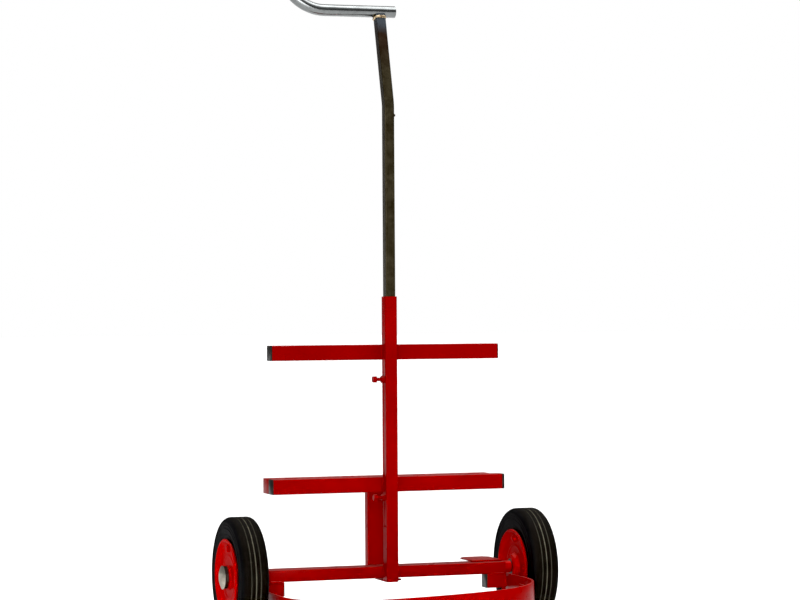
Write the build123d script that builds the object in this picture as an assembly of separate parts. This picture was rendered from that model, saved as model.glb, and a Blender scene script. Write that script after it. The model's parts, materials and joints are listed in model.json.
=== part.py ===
from build123d import *
import os
from math import cos, radians, sin, tan

# Two-wheeled trolley for portable fire extinguishers, in millimetres.
# X runs to the right along the wheel axle, Y to the back and Z up. The floor is z = 0 and the
# origin lies on it, below the middle of the whole trolley.

# Wheels
WHEEL_DIAMETER = 250.0
AXLE_Y = 100.0
AXLE_Z = WHEEL_DIAMETER / 2
AXLE_DIAMETER = 16.0
RUNNING_CLEARANCE = 0.05
WHEEL_MID_X = 320.0
TYRE_WIDTH = 60.0
TYRE_SHOULDER = 14.0
TYRE_BEAD_RADIUS = 75.0
TYRE_BEAD_WIDTH = 52.0
TYRE_BELLY_RADIUS = 98.0
TYRE_BEAD_GAP = 0.5
TREAD_GROOVE_WIDTH = 2.2
TREAD_GROOVE_DEPTH = 1.8
TREAD_GROOVE_OFFSETS = (-10.0, 0.0, 10.0)
RIM_LIP_RADIUS = 80.0
RIM_LIP_X = 33.0
RIM_LIP_WIDTH = 5.5
RIM_LIP_ROLL = 4.0
RIM_LIP_ROUND = 1.5
RIM_DISH_RADIUS = 68.0
RIM_SHEET = 2.5
RIM_WEB_X = 24.0
RIM_BARREL_RADIUS = 74.8
RIM_BARREL_HALF = 26.0
RIM_BOLT_CIRCLE = 60.0
RIM_BOLT_COUNT = 4
RIM_BOLT_DIAMETER = 8.0
RIM_BOLT_HEAD = 13.0
RIM_BOLT_HEAD_HEIGHT = 5.3
RIM_BOLT_TAIL = 8.0
RIM_BOLT_PLAY = 0.4
HUB_DIAMETER = 45.0
HUB_INNER_X = 284.0
HUB_OUTER_X = 356.0
BUSH_DIAMETER = 34.0
BUSH_LENGTH = 16.0
OUTER_BUSH_END_X = 346.0
HUB_CAP_DIAMETER = 49.5
HUB_CAP_SHEET = 1.2
HUB_CAP_SKIRT = 8.0
HUB_CAP_DOME = 6.0
HUB_CAP_OVERHANG = 2.0

# Axle and its fixings
AXLE_END_X = 355.5
SPACER_DIAMETER = 25.0
WASHER_DIAMETER = 30.0
WASHER_THICKNESS = 2.5
COTTER_DIAMETER = 4.0
COTTER_LENGTH = 26.0
END_PLAY = 0.4

# Mast, the fixed square tube that carries everything
MAST_SIZE = 26.0
MAST_WALL = 1.5
MAST_FRONT_Y = 50.0
MAST_Y = MAST_FRONT_Y + MAST_SIZE / 2
MAST_BOTTOM_Z = 110.0
MAST_TOP_Z = 707.5
FOOT_PLATE_THICKNESS = 4.0
FOOT_PLATE_RIGHT_X = 30.0
FOOT_PLATE_BACK_Y = 130.0
FOOT_PLATE_CORNER = 3.0
FOOT_PLATE_SLOPE = 6.0
RIVET_Z = 670.0
RIVET_DIAMETER = 8.0
RIVET_HEIGHT = 2.0

# Corner radii of every square tube, in wall thicknesses
TUBE_CORNER = 1.2
TUBE_INNER_CORNER = 0.4

# Crossbars and the parts behind them
BAR_SIZE = 32.0
BAR_WALL = 2.0
BAR_FRONT_Y = MAST_FRONT_Y + MAST_SIZE
UPPER_BAR_Z = 590.0
UPPER_BAR_LEFT_X = -254.0
UPPER_BAR_RIGHT_X = 249.0
UPPER_CAP_FLANGES = {"left": 2.5, "right": 2.0}
LOWER_BAR_Z = 310.5
LOWER_BAR_LEFT_X = -253.0
LOWER_BAR_RIGHT_X = 258.0
LOWER_CAP_FLANGES = {"left": 1.5, "right": 5.5}
REAR_BAR_DEPTH = 40.0
REAR_BAR_LEFT_X = -254.5
REAR_BAR_RIGHT_X = 243.0
CAP_PLUG_LENGTH = 12.0
CAP_PLUG_GAP = 0.1
CAP_CHAMFER = 0.8
UPRIGHT_WIDTH = 60.0
UPRIGHT_DEPTH = 20.0
UPRIGHT_WALL = 2.0

# Axle beam
BEAM_DEPTH = 50.0
BEAM_HEIGHT = 25.0
BEAM_WALL = 2.0
BEAM_HALF_LENGTH = 265.0
BEAM_FRONT_Y = BAR_FRONT_Y

# Base hoop, its two stubs, the tray under it and the feet
STUB_SIZE = 30.0
STUB_WALL = 2.0
STUB_INNER_X = {"left": -232.0, "right": 223.0}
STUB_CAP_FLANGE = 2.0
HOOP_OUTER_X = 271.5
HOOP_THICKNESS = 5.0
HOOP_HEIGHT = 50.0
HOOP_TOP_Z = 104.0
HOOP_FRONT_Y = -225.0
HOOP_ARM_END_Y = 84.0
HOOP_CORNER_RADIUS = 185.0
HOOP_FRONT_RADIUS = 700.0
HOOP_TILT = 2.0
TRAY_Z = 16.0
TRAY_THICKNESS = 3.0
TRAY_MARGIN = 6.3
TRAY_BACK_Y = 40.0
TRAY_LIP = 15.0
HANGER_WIDTH = 30.0
HANGER_THICKNESS = 5.2
HANGER_Y = -20.0
HANGER_OVERLAP = 35.0
HANGER_GAP = 0.3
FOOT_DIAMETER = 36.0
FOOT_TAPER = 3.0
FOOT_SPACING = 130.0
FOOT_Y = -150.0
FOOT_SCREW_DIAMETER = 6.0

# Foot pedal behind the right end of the beam
PEDAL_LEFT_X = 196.0
PEDAL_RIGHT_X = 263.0
PEDAL_FRONT_Y = 95.0
PEDAL_BACK_Y = 182.0
PEDAL_THICKNESS = 4.0
PEDAL_CORNER = 12.0

# Telescopic inner tube
INNER_SIZE = 21.0
INNER_WALL = 1.5
INNER_BOTTOM_Z = 495.0
CRANK_START_Z = 1104.0
CRANK_ANGLE = 15.5
CRANK_RADIUS = 60.0
STOP_PIN_Z = 1090.0
STOP_PIN_DIAMETER = 6.0
STOP_PIN_PROUD = 5.0

# Handle
HANDLE_DIAMETER = 25.0
HANDLE_WALL = 2.0
HANDLE_Z = 1314.0
HANDLE_RIGHT_X = 35.0
HANDLE_BEND_X = -122.0
HANDLE_BEND_RADIUS = 85.0
HANDLE_WELD_SIZE = 28.0
HANDLE_WELD_HEIGHT = 6.0
HANDLE_WELD_SINK = 2.0
HANDLE_WELD_CORNER = 4.0

# Clamp bolts on the left side of the mast
CLAMP_HEIGHTS = {"upper": 533.0, "lower": 284.0}
CLAMP_BOLT_DIAMETER = 8.0
CLAMP_BOLT_CLEARANCE = 0.1
CLAMP_HOLE_PLAY = 0.5
CLAMP_HEX = 13.0
CLAMP_NUT_HEIGHT = 6.5
CLAMP_HEAD_HEIGHT = 8.0
CLAMP_HEAD_OUT = 25.0
CLAMP_TIP_GAP = 0.3
EDGE_CHAMFER = 1.0

SIDES = {"left": -1, "right": 1}
ALONG_X = Rotation(0, 90, 0)


def save(name, shape):
    """Write one named piece."""
    shape.label = name
    export_step(shape, f"parts/{name}.step")


def block(x0, x1, y0, y1, z0, z1):
    """A box between two opposite corners."""
    return Pos((x0 + x1) / 2, (y0 + y1) / 2, (z0 + z1) / 2) * Box(x1 - x0, y1 - y0, z1 - z0)


def rod_x(x0, x1, y, z, diameter):
    """A round bar along X."""
    return Pos((x0 + x1) / 2, y, z) * ALONG_X * Cylinder(diameter / 2, abs(x1 - x0))


def hex_x(x0, x1, y, z, across_flats):
    """A hexagonal prism along X."""
    outline = RegularPolygon(across_flats / 2, 6, major_radius=False)
    prism = extrude(outline, abs(x1 - x0))
    return Pos(min(x0, x1), y, z) * ALONG_X * prism


def tube_section(width, height, wall):
    """The section of a rectangular hollow tube, with rounded corners."""
    outer = RectangleRounded(width, height, TUBE_CORNER * wall)
    inner = RectangleRounded(width - 2 * wall, height - 2 * wall, TUBE_INNER_CORNER * wall)
    return outer - inner


def tube_x(x0, x1, y, z, depth, height, wall):
    """A rectangular hollow tube along X."""
    section = Plane.YZ * tube_section(depth, height, wall)
    return Pos(x0, y, z) * extrude(section, x1 - x0, dir=(1, 0, 0))


def tube_z(x, y, z0, z1, width, depth, wall):
    """A rectangular hollow tube along Z."""
    return Pos(x, y, z0) * extrude(tube_section(width, depth, wall), z1 - z0)


def end_cap(end_x, side, y, z, depth, height, wall, flange):
    """A plastic cap for the end of a tube along X: a flange outside and a plug in the bore."""
    flange_body = extrude(Plane.YZ * RectangleRounded(depth, height, TUBE_CORNER * wall), side * flange)
    plug_depth = depth - 2 * (wall + CAP_PLUG_GAP)
    plug_height = height - 2 * (wall + CAP_PLUG_GAP)
    plug_outline = RectangleRounded(plug_depth, plug_height, TUBE_INNER_CORNER * wall)
    plug = extrude(Plane.YZ * plug_outline, -side * CAP_PLUG_LENGTH)
    cap = Pos(end_x, y, z) * (flange_body + plug)
    return chamfer(cap.faces().sort_by(Axis.X)[-1 if side > 0 else 0].edges(), CAP_CHAMFER)


# ---------------------------------------------------------------- frame

def make_mast():
    mast = tube_z(0, MAST_Y, MAST_BOTTOM_Z, MAST_TOP_Z, MAST_SIZE, MAST_SIZE, MAST_WALL)
    for height in CLAMP_HEIGHTS.values():
        mast -= rod_x(-MAST_SIZE, 0, MAST_Y, height, CLAMP_BOLT_DIAMETER + 2 * CLAMP_HOLE_PLAY)
    mast -= rod_x(0, MAST_SIZE, MAST_Y, RIVET_Z, RIVET_DIAMETER / 2)
    save("mast_outer_tube", mast)
    head = Pos(MAST_SIZE / 2, MAST_Y, RIVET_Z) * ALONG_X * Cone(
        RIVET_DIAMETER / 2, RIVET_DIAMETER / 4, RIVET_HEIGHT, align=(Align.CENTER, Align.CENTER, Align.MIN)
    )
    shank = rod_x(MAST_SIZE / 2 - MAST_WALL, MAST_SIZE / 2, MAST_Y, RIVET_Z, RIVET_DIAMETER / 2)
    save("mast_rivet", head + shank)
    half = MAST_SIZE / 2
    corner = FOOT_PLATE_CORNER
    outline = Polyline(
        (-half, MAST_FRONT_Y + corner),
        (-half + corner, MAST_FRONT_Y),
        (half - corner, MAST_FRONT_Y),
        (half, MAST_FRONT_Y + corner),
        (half, BAR_FRONT_Y),
        (FOOT_PLATE_RIGHT_X, BAR_FRONT_Y + FOOT_PLATE_SLOPE),
        (FOOT_PLATE_RIGHT_X, FOOT_PLATE_BACK_Y),
        (-half, FOOT_PLATE_BACK_Y),
        close=True,
    )
    plate = extrude(make_face(outline), FOOT_PLATE_THICKNESS)
    save("mast_foot_plate", Pos(0, 0, MAST_BOTTOM_Z - FOOT_PLATE_THICKNESS) * plate)


def make_crossbars():
    bar_y = BAR_FRONT_Y + BAR_SIZE / 2
    bars = {
        "upper": (UPPER_BAR_Z, UPPER_BAR_LEFT_X, UPPER_BAR_RIGHT_X, UPPER_CAP_FLANGES),
        "lower": (LOWER_BAR_Z, LOWER_BAR_LEFT_X, LOWER_BAR_RIGHT_X, LOWER_CAP_FLANGES),
    }
    names = {"upper": "upper_crossbar", "lower": "lower_crossbar_front"}
    for level, (z, left_x, right_x, flanges) in bars.items():
        save(names[level], tube_x(left_x, right_x, bar_y, z, BAR_SIZE, BAR_SIZE, BAR_WALL))
        for side_name, side in SIDES.items():
            end_x = right_x if side > 0 else left_x
            flange = flanges[side_name]
            cap = end_cap(end_x, side, bar_y, z, BAR_SIZE, BAR_SIZE, BAR_WALL, flange)
            save(f"{level}_bar_cap_{side_name}", cap)


def make_rear_frame():
    rear_y = BAR_FRONT_Y + BAR_SIZE + REAR_BAR_DEPTH / 2
    rear_bar = tube_x(
        REAR_BAR_LEFT_X, REAR_BAR_RIGHT_X, rear_y, LOWER_BAR_Z, REAR_BAR_DEPTH, BAR_SIZE, BAR_WALL
    )
    for x0, x1 in (
        (REAR_BAR_LEFT_X, REAR_BAR_LEFT_X + BAR_WALL),
        (REAR_BAR_RIGHT_X - BAR_WALL, REAR_BAR_RIGHT_X),
    ):
        end_plate = extrude(
            Plane.YZ * RectangleRounded(REAR_BAR_DEPTH, BAR_SIZE, TUBE_CORNER * BAR_WALL),
            x1 - x0,
            dir=(1, 0, 0),
        )
        rear_bar += Pos(x0, rear_y, LOWER_BAR_Z) * end_plate
    save("lower_crossbar_rear", rear_bar)
    upright_y = BEAM_FRONT_Y + BEAM_DEPTH + UPRIGHT_DEPTH / 2
    upright = tube_z(
        0,
        upright_y,
        AXLE_Z - BEAM_HEIGHT / 2,
        LOWER_BAR_Z - BAR_SIZE / 2,
        UPRIGHT_WIDTH,
        UPRIGHT_DEPTH,
        UPRIGHT_WALL,
    )
    save("rear_upright", upright)


def make_beam():
    beam_y = BEAM_FRONT_Y + BEAM_DEPTH / 2
    beam = tube_x(
        -BEAM_HALF_LENGTH, BEAM_HALF_LENGTH, beam_y, AXLE_Z, BEAM_DEPTH, BEAM_HEIGHT, BEAM_WALL
    )
    save("axle_beam", beam)
    axle = chamfer(
        rod_x(-AXLE_END_X, AXLE_END_X, AXLE_Y, AXLE_Z, AXLE_DIAMETER).edges().filter_by(GeomType.CIRCLE),
        EDGE_CHAMFER,
    )
    hole = Cylinder(COTTER_DIAMETER / 2, WHEEL_DIAMETER)
    washer_x = OUTER_BUSH_END_X + END_PLAY
    cotter_x = washer_x + WASHER_THICKNESS + END_PLAY + COTTER_DIAMETER / 2
    for side in SIDES.values():
        axle -= Pos(side * cotter_x, AXLE_Y, AXLE_Z) * hole
    save("axle_shaft", axle)
    for side_name, side in SIDES.items():
        spacer = rod_x(
            side * BEAM_HALF_LENGTH, side * (HUB_INNER_X - END_PLAY), AXLE_Y, AXLE_Z, SPACER_DIAMETER
        )
        washer = rod_x(
            side * washer_x, side * (washer_x + WASHER_THICKNESS), AXLE_Y, AXLE_Z, WASHER_DIAMETER
        )
        bore = rod_x(side * BEAM_HALF_LENGTH, side * AXLE_END_X, AXLE_Y, AXLE_Z, AXLE_DIAMETER)
        save(f"axle_spacer_{side_name}", spacer - bore)
        save(f"axle_washer_{side_name}", washer - bore)
        cotter = Cylinder(COTTER_DIAMETER / 2, COTTER_LENGTH)
        save(f"cotter_pin_{side_name}", Pos(side * cotter_x, AXLE_Y, AXLE_Z) * cotter)


def make_pedal():
    z0 = AXLE_Z + BEAM_HEIGHT / 2
    pedal = block(
        PEDAL_LEFT_X, PEDAL_RIGHT_X, PEDAL_FRONT_Y, PEDAL_BACK_Y, z0, z0 + PEDAL_THICKNESS
    )
    back_edges = pedal.edges().filter_by(Axis.Z).group_by(Axis.Y)[-1]
    save("foot_pedal", chamfer(back_edges, PEDAL_CORNER))


# ---------------------------------------------------------------- base

def hoop_outline(inset, arm_end_y):
    """The hoop's curve in plan: two straight arms, two corners and a bowed front, open behind."""
    half = HOOP_OUTER_X - inset
    corner = HOOP_CORNER_RADIUS - inset
    front = HOOP_FRONT_RADIUS - inset
    front_centre_y = HOOP_FRONT_Y + HOOP_FRONT_RADIUS
    corner_x = half - corner
    corner_y = front_centre_y - ((front - corner) ** 2 - corner_x**2) ** 0.5
    reach = front / (front - corner)
    meet = (corner_x * reach, front_centre_y + (corner_y - front_centre_y) * reach)
    turn = radians(-30.0)
    middle = (corner_x + corner * cos(turn), corner_y + corner * sin(turn))
    right_arm = Line((half, arm_end_y), (half, corner_y))
    right_corner = ThreePointArc((half, corner_y), middle, meet)
    bow = ThreePointArc(meet, (0, front_centre_y - front), (-meet[0], meet[1]))
    left_corner = ThreePointArc((-meet[0], meet[1]), (-middle[0], middle[1]), (-half, corner_y))
    left_arm = Line((-half, corner_y), (-half, arm_end_y))
    return right_arm + right_corner + bow + left_corner + left_arm


def filled_outline(inset, arm_end_y):
    """The area inside the hoop's curve, closed straight across behind."""
    half = HOOP_OUTER_X - inset
    closing = Line((-half, arm_end_y), (half, arm_end_y))
    return make_face(hoop_outline(inset, arm_end_y) + closing)


def make_hoop():
    band = filled_outline(0, HOOP_ARM_END_Y) - filled_outline(HOOP_THICKNESS, HOOP_ARM_END_Y)
    hoop = Pos(0, 0, -HOOP_HEIGHT) * extrude(band, HOOP_HEIGHT)
    save("base_hoop", Pos(0, 0, HOOP_TOP_Z) * Rotation(0, -HOOP_TILT, 0) * hoop)
    stub_y = BEAM_FRONT_Y + STUB_SIZE / 2
    stub_z = AXLE_Z - BEAM_HEIGHT / 2 - STUB_SIZE / 2
    tilt_allowance = STUB_SIZE * tan(radians(HOOP_TILT))
    outer_x = HOOP_OUTER_X - HOOP_THICKNESS - tilt_allowance
    for side_name, side in SIDES.items():
        inner_x = STUB_INNER_X[side_name]
        ends = sorted((inner_x, side * outer_x))
        stub = tube_x(ends[0], ends[1], stub_y, stub_z, STUB_SIZE, STUB_SIZE, STUB_WALL)
        save(f"hoop_stub_{side_name}", stub)
        cap = end_cap(inner_x, -side, stub_y, stub_z, STUB_SIZE, STUB_SIZE, STUB_WALL, STUB_CAP_FLANGE)
        save(f"stub_cap_{side_name}", cap)


def tray_shift():
    """How far the tilt moves the hoop's middle sideways, half way down its band."""
    return HOOP_HEIGHT / 2 * sin(radians(HOOP_TILT))


def make_tray():
    inset = HOOP_THICKNESS + TRAY_MARGIN
    height = TRAY_THICKNESS + TRAY_LIP
    floor = extrude(filled_outline(inset, TRAY_BACK_Y), TRAY_THICKNESS)
    rim = filled_outline(inset, TRAY_BACK_Y) - filled_outline(inset + TRAY_THICKNESS, TRAY_BACK_Y)
    half = HOOP_OUTER_X - inset
    back_lip = block(-half, half, TRAY_BACK_Y - TRAY_THICKNESS, TRAY_BACK_Y, 0, height)
    tray = Pos(tray_shift(), 0, TRAY_Z) * (floor + extrude(rim, height) + back_lip)
    for x in (-FOOT_SPACING, FOOT_SPACING):
        tray -= countersunk_screw(x)
    save("base_tray", tray)


def make_hangers():
    """Flat straps that hold the tray below the hoop: one on each arm and one at the front."""
    slope = tan(radians(HOOP_TILT))
    half_width = HANGER_WIDTH / 2
    lip_x = HOOP_OUTER_X - HOOP_THICKNESS - TRAY_MARGIN
    for side_name, side in SIDES.items():
        x0, x1 = sorted((side * lip_x, side * (lip_x + HANGER_THICKNESS)))
        shift = tray_shift()
        top = HOOP_TOP_Z + side * lip_x * slope - HOOP_HEIGHT + HANGER_OVERLAP
        strap = block(
            x0 + shift, x1 + shift, HANGER_Y - half_width, HANGER_Y + half_width, TRAY_Z, top
        )
        save(f"tray_hanger_{side_name}", strap)
    lip_y = HOOP_FRONT_Y + HOOP_THICKNESS + TRAY_MARGIN
    top = HOOP_TOP_Z - HOOP_HEIGHT + HANGER_OVERLAP
    strap = block(-half_width, half_width, lip_y - HANGER_THICKNESS, lip_y - HANGER_GAP, TRAY_Z, top)
    save("tray_hanger_front", strap)


def countersunk_screw(x):
    """A screw from the tray's upper face down into a foot, its head flush with the tray."""
    top = TRAY_Z + TRAY_THICKNESS
    radius = FOOT_SCREW_DIAMETER / 2
    shank_length = TRAY_Z / 2
    shank = Pos(x, FOOT_Y, TRAY_Z - shank_length / 2) * Cylinder(radius, shank_length)
    head = Pos(x, FOOT_Y, top - TRAY_THICKNESS / 2) * Cone(radius, 2 * radius, TRAY_THICKNESS)
    return shank + head


def make_feet():
    feet = []
    screws = []
    for x in (-FOOT_SPACING, FOOT_SPACING):
        foot = Pos(x, FOOT_Y, TRAY_Z / 2) * Cone(FOOT_DIAMETER / 2 - FOOT_TAPER, FOOT_DIAMETER / 2, TRAY_Z)
        feet.append(foot - countersunk_screw(x))
        screws.append(countersunk_screw(x))
    save("tray_feet", Compound(children=feet))
    save("foot_screws", Compound(children=screws))


# ---------------------------------------------------------------- telescopic handle

def make_inner_tube():
    bend_y = CRANK_RADIUS * (1 - cos(radians(CRANK_ANGLE)))
    bend_z = CRANK_RADIUS * sin(radians(CRANK_ANGLE))
    bend_end = (0, MAST_Y + bend_y, CRANK_START_Z + bend_z)
    rise = HANDLE_Z - bend_end[2]
    top = (0, bend_end[1] + rise * tan(radians(CRANK_ANGLE)), HANDLE_Z)
    half_turn = radians(CRANK_ANGLE / 2)
    bend_middle = (
        0,
        MAST_Y + CRANK_RADIUS * (1 - cos(half_turn)),
        CRANK_START_Z + CRANK_RADIUS * sin(half_turn),
    )
    path = (
        Line((0, MAST_Y, INNER_BOTTOM_Z), (0, MAST_Y, CRANK_START_Z))
        + ThreePointArc((0, MAST_Y, CRANK_START_Z), bend_middle, bend_end)
        + Line(bend_end, top)
    )
    section = Pos(0, MAST_Y, INNER_BOTTOM_Z) * tube_section(INNER_SIZE, INNER_SIZE, INNER_WALL)
    tube = sweep(section, path=path)
    tube -= rod_x(-MAST_SIZE, MAST_SIZE, top[1], top[2], HANDLE_DIAMETER)
    tube -= block(
        -MAST_SIZE, MAST_SIZE, top[1] - MAST_SIZE, top[1] + MAST_SIZE, HANDLE_Z, HANDLE_Z + MAST_SIZE
    )
    tube -= rod_x(0, MAST_SIZE, MAST_Y, STOP_PIN_Z, STOP_PIN_DIAMETER)
    save("inner_tube", tube.solids().sort_by(SortBy.VOLUME)[-1])
    pin = rod_x(
        INNER_SIZE / 2 - INNER_WALL, INNER_SIZE / 2 + STOP_PIN_PROUD, MAST_Y, STOP_PIN_Z, STOP_PIN_DIAMETER
    )
    save("stop_pin", chamfer(pin.faces().sort_by(Axis.X)[-1].edges(), EDGE_CHAMFER))
    return top


def make_handle(seat):
    """The round tube: a straight leg, a half-turn and the grip leg, leaning back like the crank."""
    x0, x1 = HANDLE_RIGHT_X, HANDLE_BEND_X
    radius = HANDLE_BEND_RADIUS
    lean = radians(CRANK_ANGLE)

    def point(x, rise):
        return (x, seat[1] + rise * sin(lean), seat[2] + rise * cos(lean))

    path = (
        Line(point(x0, 0), point(x1, 0))
        + ThreePointArc(point(x1, 0), point(x1 - radius, radius), point(x1, 2 * radius))
        + Line(point(x1, 2 * radius), point(x0, 2 * radius))
    )
    ring = Circle(HANDLE_DIAMETER / 2) - Circle(HANDLE_DIAMETER / 2 - HANDLE_WALL)
    start = Plane(origin=point(x0, 0), z_dir=(-1, 0, 0))
    save("handle_tube", sweep(start * ring, path=path))
    make_handle_weld(seat, lean)


def make_handle_weld(seat, lean):
    """A bead of braze round the top of the inner tube, under the handle."""
    frame = Plane(origin=seat, x_dir=(1, 0, 0), z_dir=(0, sin(lean), cos(lean)))
    start = frame.offset(HANDLE_WELD_SINK - HANDLE_DIAMETER / 2 - HANDLE_WELD_HEIGHT)
    outer = RectangleRounded(HANDLE_WELD_SIZE, HANDLE_WELD_SIZE, HANDLE_WELD_CORNER)
    inner = RectangleRounded(INNER_SIZE, INNER_SIZE, TUBE_CORNER * INNER_WALL)
    bead = extrude(start * outer, HANDLE_WELD_HEIGHT)
    bead -= extrude(start * inner, HANDLE_WELD_HEIGHT)
    bead -= rod_x(-MAST_SIZE, MAST_SIZE, seat[1], seat[2], HANDLE_DIAMETER)
    save("handle_weld", Compound(children=bead.solids()))


# ---------------------------------------------------------------- clamp bolts

def make_clamps():
    face_x = -MAST_SIZE / 2
    for level, z in CLAMP_HEIGHTS.items():
        nut = hex_x(face_x - CLAMP_NUT_HEIGHT, face_x, MAST_Y, z, CLAMP_HEX)
        bore = CLAMP_BOLT_DIAMETER + 2 * CLAMP_BOLT_CLEARANCE
        nut -= rod_x(face_x - CLAMP_NUT_HEIGHT, face_x, MAST_Y, z, bore)
        save(f"{level}_clamp_nut", nut)
        head_x = face_x - CLAMP_HEAD_OUT
        head = hex_x(head_x, head_x + CLAMP_HEAD_HEIGHT, MAST_Y, z, CLAMP_HEX)
        tip_x = -INNER_SIZE / 2 - CLAMP_TIP_GAP
        shank = rod_x(head_x + CLAMP_HEAD_HEIGHT / 2, tip_x, MAST_Y, z, CLAMP_BOLT_DIAMETER)
        shank = chamfer(shank.faces().sort_by(Axis.X)[-1].edges(), EDGE_CHAMFER)
        save(f"{level}_clamp_bolt", head + shank)


# ---------------------------------------------------------------- wheels

def turned(outline, side):
    """Revolve a half-section, drawn as (distance from the wheel's middle, radius), about the axle."""
    face = make_face(outline)
    solid = revolve(face, Axis.X, 360)
    if side < 0:
        solid = mirror(solid, Plane.YZ)
    return Pos(side * WHEEL_MID_X, AXLE_Y, AXLE_Z) * solid


def make_tyre(side_name, side):
    half = TYRE_WIDTH / 2
    outer = WHEEL_DIAMETER / 2
    bead = TYRE_BEAD_WIDTH / 2
    shoulder = TYRE_SHOULDER
    belly = TYRE_BELLY_RADIUS
    lip = RIM_LIP_RADIUS + TYRE_BEAD_GAP
    profile = (
        Line((-bead, TYRE_BEAD_RADIUS), (bead, TYRE_BEAD_RADIUS))
        + Line((bead, TYRE_BEAD_RADIUS), (bead, lip))
        + Line((bead, lip), (half, belly))
        + Line((half, belly), (half, outer - shoulder))
        + JernArc((half, outer - shoulder), (0, 1), shoulder, 90)
        + Line((half - shoulder, outer), (shoulder - half, outer))
        + JernArc((shoulder - half, outer), (-1, 0), shoulder, 90)
        + Line((-half, outer - shoulder), (-half, belly))
        + Line((-half, belly), (-bead, lip))
        + Line((-bead, lip), (-bead, TYRE_BEAD_RADIUS))
    )
    tyre = turned(profile, side)
    for offset in TREAD_GROOVE_OFFSETS:
        ring = Rectangle(TREAD_GROOVE_WIDTH, TREAD_GROOVE_DEPTH * 2)
        groove = revolve(Pos(offset, outer) * ring, Axis.X, 360)
        tyre -= Pos(side * WHEEL_MID_X, AXLE_Y, AXLE_Z) * groove
    save(f"{side_name}_tyre", tyre)


def rim_disc(side, facing):
    """One pressed disc: a rolled lip, a dished wall, a flat web and a collar on the hub."""
    lip_x = RIM_LIP_X
    web_x = RIM_WEB_X
    hub = HUB_DIAMETER / 2
    roll = RIM_LIP_RADIUS - RIM_LIP_ROLL
    points = (
        (web_x, hub),
        (web_x, RIM_DISH_RADIUS),
        (lip_x - 2 * RIM_LIP_ROUND, roll - 2 * RIM_LIP_ROUND),
        (lip_x, roll),
        (lip_x, RIM_LIP_RADIUS - RIM_LIP_ROUND),
        (lip_x - RIM_LIP_ROUND, RIM_LIP_RADIUS),
        (lip_x - RIM_LIP_WIDTH, RIM_LIP_RADIUS),
        (lip_x - RIM_LIP_WIDTH, roll),
        (web_x - RIM_SHEET, RIM_DISH_RADIUS + 0.4 * RIM_SHEET),
        (web_x - RIM_SHEET, hub),
    )
    disc = turned(Polyline(*[(facing * x, r) for x, r in points], close=True), side)
    hole = Cylinder(RIM_BOLT_DIAMETER / 2 + RIM_BOLT_PLAY, 2 * RIM_LIP_X)
    for angle in bolt_angles():
        disc -= bolt_place(side, facing * web_x, angle) * ALONG_X * hole
    return disc


def bolt_angles():
    return [90 + 360 * index / RIM_BOLT_COUNT for index in range(RIM_BOLT_COUNT)]


def bolt_place(side, offset, angle):
    """Where a point on the rim's bolt circle lies, offset from the wheel's middle."""
    y = AXLE_Y + RIM_BOLT_CIRCLE * cos(radians(angle))
    z = AXLE_Z + RIM_BOLT_CIRCLE * sin(radians(angle))
    return Pos(side * (WHEEL_MID_X + offset), y, z)


def make_rim(side_name, side):
    save(f"{side_name}_rim_outer_disc", rim_disc(side, 1))
    save(f"{side_name}_rim_inner_disc", rim_disc(side, -1))
    near_x = side * (WHEEL_MID_X - RIM_BARREL_HALF)
    far_x = side * (WHEEL_MID_X + RIM_BARREL_HALF)
    inner_radius = RIM_BARREL_RADIUS - 0.8 * RIM_SHEET
    barrel = rod_x(near_x, far_x, AXLE_Y, AXLE_Z, 2 * RIM_BARREL_RADIUS)
    barrel -= rod_x(near_x, far_x, AXLE_Y, AXLE_Z, 2 * inner_radius)
    for facing in (-1, 1):
        barrel -= rim_disc(side, facing)
    save(f"{side_name}_rim_barrel", barrel.solids().sort_by(SortBy.VOLUME)[-1])
    bolts = []
    for angle in bolt_angles():
        rod = Cylinder(RIM_BOLT_DIAMETER / 2, 2 * RIM_WEB_X + RIM_BOLT_TAIL)
        shank = bolt_place(side, RIM_BOLT_TAIL / 2, angle) * ALONG_X * rod
        head = extrude(RegularPolygon(RIM_BOLT_HEAD / 2, 6, major_radius=False), RIM_BOLT_HEAD_HEIGHT)
        nut_offset = -RIM_WEB_X - RIM_BOLT_HEAD_HEIGHT if side > 0 else RIM_WEB_X
        outer_offset = RIM_WEB_X if side > 0 else -RIM_WEB_X - RIM_BOLT_HEAD_HEIGHT
        y_z = bolt_place(side, 0, angle).position
        for offset in (nut_offset, outer_offset):
            shank += Pos(side * WHEEL_MID_X + offset, y_z.Y, y_z.Z) * ALONG_X * head
        bolts.append(shank)
    save(f"{side_name}_rim_bolts", Compound(children=bolts))


def make_hub(side_name, side):
    inner_x = side * HUB_INNER_X
    outer_x = side * HUB_OUTER_X
    hub = rod_x(inner_x, outer_x, AXLE_Y, AXLE_Z, HUB_DIAMETER)
    hub -= rod_x(inner_x, outer_x, AXLE_Y, AXLE_Z, BUSH_DIAMETER)
    save(f"{side_name}_hub_barrel", hub)
    bore = AXLE_DIAMETER + 2 * RUNNING_CLEARANCE
    for end_name, end_x, inward in (("inner", inner_x, side), ("outer", side * OUTER_BUSH_END_X, -side)):
        bush = rod_x(end_x, end_x + inward * BUSH_LENGTH, AXLE_Y, AXLE_Z, BUSH_DIAMETER)
        bush -= rod_x(end_x, end_x + inward * BUSH_LENGTH, AXLE_Y, AXLE_Z, bore)
        save(f"{side_name}_{end_name}_bush", bush)


def dome_outline(rim_x, rim_radius, height, skirt, skirt_radius):
    """The half-section of a solid spherical dome with a straight skirt behind it."""
    sphere_radius = (rim_radius**2 + height**2) / (2 * height)
    tip = (rim_x + height, 0)
    rim = (rim_x, rim_radius)
    back_x = rim_x - skirt
    outline = Polyline(tip, (back_x, 0), (back_x, skirt_radius), (rim_x, skirt_radius), rim)
    return outline + RadiusArc(rim, tip, sphere_radius)


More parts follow.
